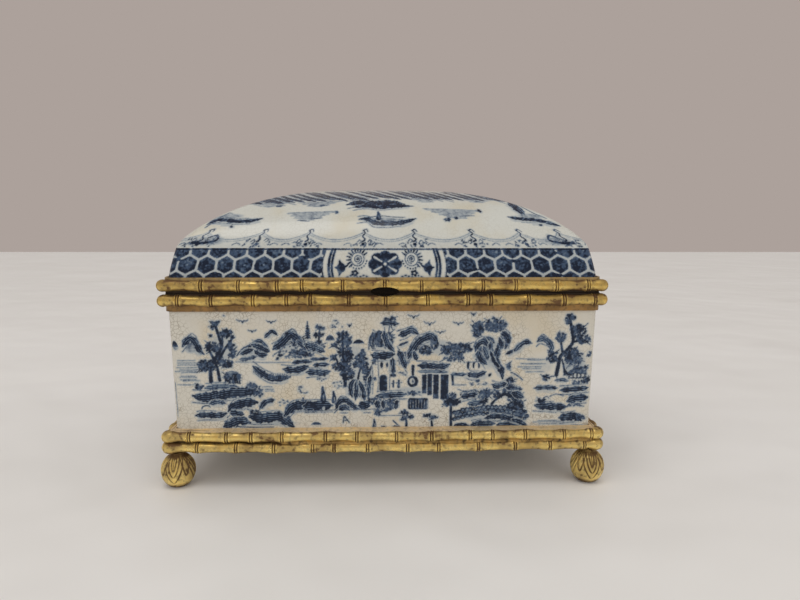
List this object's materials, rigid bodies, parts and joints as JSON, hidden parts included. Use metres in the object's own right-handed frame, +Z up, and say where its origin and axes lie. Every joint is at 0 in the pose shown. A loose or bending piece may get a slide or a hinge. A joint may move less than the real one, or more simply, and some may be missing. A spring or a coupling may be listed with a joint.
{
  "type": "porcelain storage box",
  "caption": "Rectangular blue-and-white glazed box with a hinged domed lid, bamboo-shaped brass rims, a brass base frame and ball feet, for keeping small things.",
  "frame": {"origin": "on the table, under the middle of the box", "axes": "+Z up, +X along the box's length to the right as seen from the front, the front faces -Y and the hinges are at +Y"},
  "size_m": [0.2878, 0.2028, 0.1903],
  "materials": {
    "glazed_porcelain": "glossy cream-white glaze over blue painted decoration, finely crazed",
    "band_brass": "aged, satin, brown patina",
    "bamboo_brass": "cast in the shape of bamboo, aged gilt, patina in the recesses",
    "base_brass": "matte tan gold, unpolished",
    "foot_brass": "cast, aged gilt, patina in the recesses",
    "hinge_brass": "aged, satin",
    "rivet_brass": "aged, worn bright on the heads",
    "steel": "plain drawn steel"
  },
  "bodies": {
    "box": {"base_frame": "base_brass", "base_lower_bar_back": "bamboo_brass", "base_lower_bar_front": "bamboo_brass", "base_lower_bar_left": "bamboo_brass", "base_lower_bar_right": "bamboo_brass", "base_upper_bar_back": "bamboo_brass", "base_upper_bar_front": "bamboo_brass", "base_upper_bar_left": "bamboo_brass", "base_upper_bar_right": "bamboo_brass", "body_band": "band_brass", "body_bar_back_left": "bamboo_brass", "body_bar_back_middle": "bamboo_brass", "body_bar_back_right": "bamboo_brass", "body_bar_front": "bamboo_brass", "body_bar_left": "bamboo_brass", "body_bar_right": "bamboo_brass", "body_porcelain": "glazed_porcelain", "foot_back_left": "foot_brass", "foot_back_right": "foot_brass", "foot_front_left": "foot_brass", "foot_front_right": "foot_brass", "foot_stud_back_left": "steel", "foot_stud_back_right": "steel", "foot_stud_front_left": "steel", "foot_stud_front_right": "steel", "hinge_body_leaf_left": "hinge_brass", "hinge_body_leaf_left_rivet_left": "rivet_brass", "hinge_body_leaf_left_rivet_right": "rivet_brass", "hinge_body_leaf_right": "hinge_brass", "hinge_body_leaf_right_rivet_left": "rivet_brass", "hinge_body_leaf_right_rivet_right": "rivet_brass", "hinge_pin_left": "steel", "hinge_pin_right": "steel"},
    "lid": {"hinge_lid_leaf_left": "hinge_brass", "hinge_lid_leaf_left_rivet_left": "rivet_brass", "hinge_lid_leaf_left_rivet_right": "rivet_brass", "hinge_lid_leaf_right": "hinge_brass", "hinge_lid_leaf_right_rivet_left": "rivet_brass", "hinge_lid_leaf_right_rivet_right": "rivet_brass", "lid_band": "band_brass", "lid_bar_back_left": "bamboo_brass", "lid_bar_back_middle": "bamboo_brass", "lid_bar_back_right": "bamboo_brass", "lid_bar_front": "bamboo_brass", "lid_bar_left": "bamboo_brass", "lid_bar_right": "bamboo_brass", "lid_porcelain": "glazed_porcelain"}
  },
  "joints": [
    {"name": "lid_hinge", "type": "hinge", "parent": "box", "child": "lid", "pos_m": [0, 0.0987, 0.12485], "axis": [-1, 0, 0], "range_deg": [0, 100]}
  ]
}
